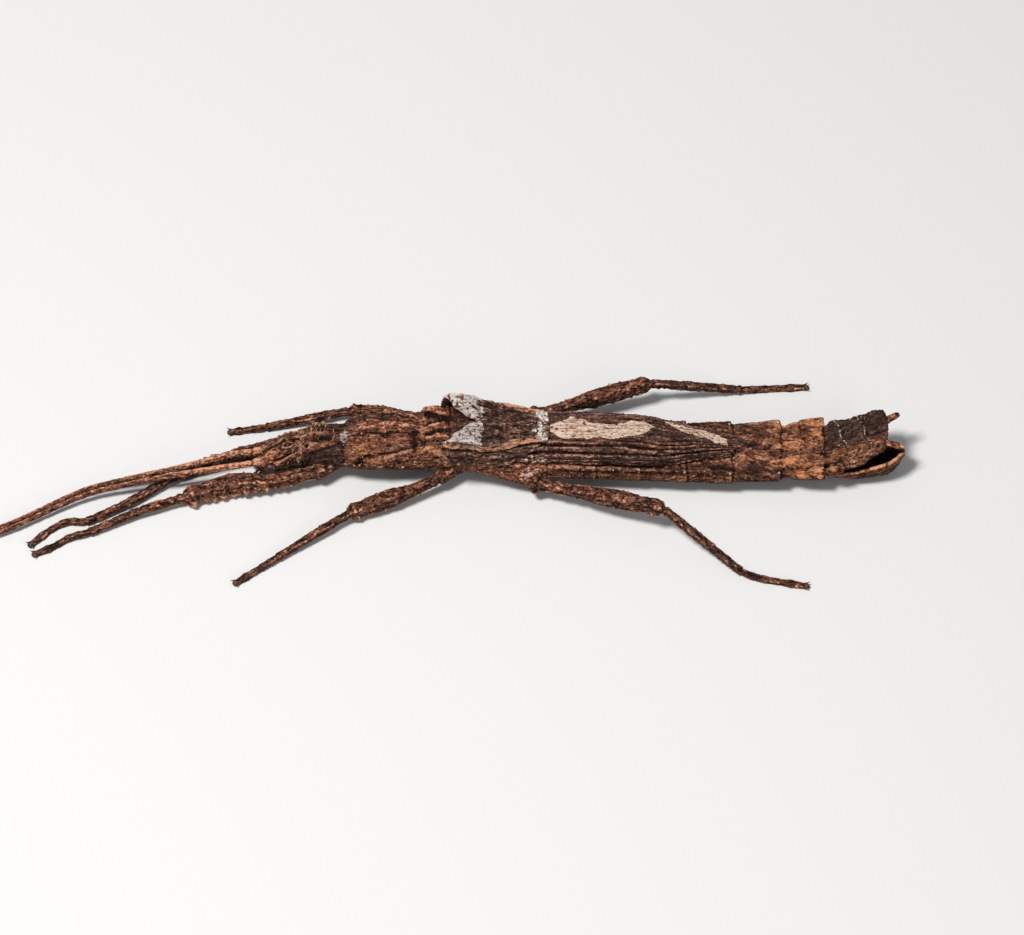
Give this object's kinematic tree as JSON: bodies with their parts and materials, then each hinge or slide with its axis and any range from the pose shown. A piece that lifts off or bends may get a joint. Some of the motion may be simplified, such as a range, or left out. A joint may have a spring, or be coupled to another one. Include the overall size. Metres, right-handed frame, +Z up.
{
  "type": "winged stick insect",
  "caption": "Bark-like winged stick insect standing on thin toothed legs, forelegs and antennae stretched ahead, for display as a still life-size model.",
  "frame": {"origin": "on the floor, under the middle of the overall box", "axes": "+Z up, the head towards -X, the insect's left side towards -Y"},
  "size_m": [0.1128, 0.0294, 0.0077],
  "materials": {
    "body": "dry bark-like cuticle, matte, with lengthwise ridges and dark furrows",
    "limb": "ridged brown cuticle, matte to faintly satin",
    "forewing": "leathery, rough, with pale lichen-like patches",
    "hindwing": "folded, finely ribbed, matte, with cream patches",
    "eye": "smooth, glossy, dark purple-brown"
  },
  "bodies": {
    "root": {"head": "body", "prothorax": "body", "mesothorax": "body", "metathorax": "body", "abdomen_2": "body", "abdomen_3": "body", "abdomen_4": "body", "abdomen_5": "body", "abdomen_6": "body", "abdomen_7": "body", "abdomen_8": "body", "abdomen_9": "body", "abdomen_10": "body", "mouthparts": "body", "operculum": "body", "eye_left": "eye", "antenna_left_base": "limb", "antenna_left_tip": "limb", "tegmen_left": "forewing", "hindwing_left": "hindwing", "cercus_left": "limb", "eye_right": "eye", "antenna_right_base": "limb", "antenna_right_tip": "limb", "tegmen_right": "forewing", "hindwing_right": "hindwing", "cercus_right": "limb", "leg_front_left_coxa": "limb", "leg_front_left_femur": "limb", "leg_front_left_tibia": "limb", "leg_front_left_tarsus": "limb", "leg_front_right_coxa": "limb", "leg_front_right_femur": "limb", "leg_front_right_tibia": "limb", "leg_front_right_tarsus": "limb", "leg_middle_left_coxa": "limb", "leg_middle_left_femur": "limb", "leg_middle_left_tibia": "limb", "leg_middle_left_tarsus": "limb", "leg_middle_right_coxa": "limb", "leg_middle_right_femur": "limb", "leg_middle_right_tibia": "limb", "leg_middle_right_tarsus": "limb", "leg_hind_left_coxa": "limb", "leg_hind_left_femur": "limb", "leg_hind_left_tibia": "limb", "leg_hind_left_tarsus": "limb", "leg_hind_right_coxa": "limb", "leg_hind_right_femur": "limb", "leg_hind_right_tibia": "limb", "leg_hind_right_tarsus": "limb"}
  },
  "joints": []
}
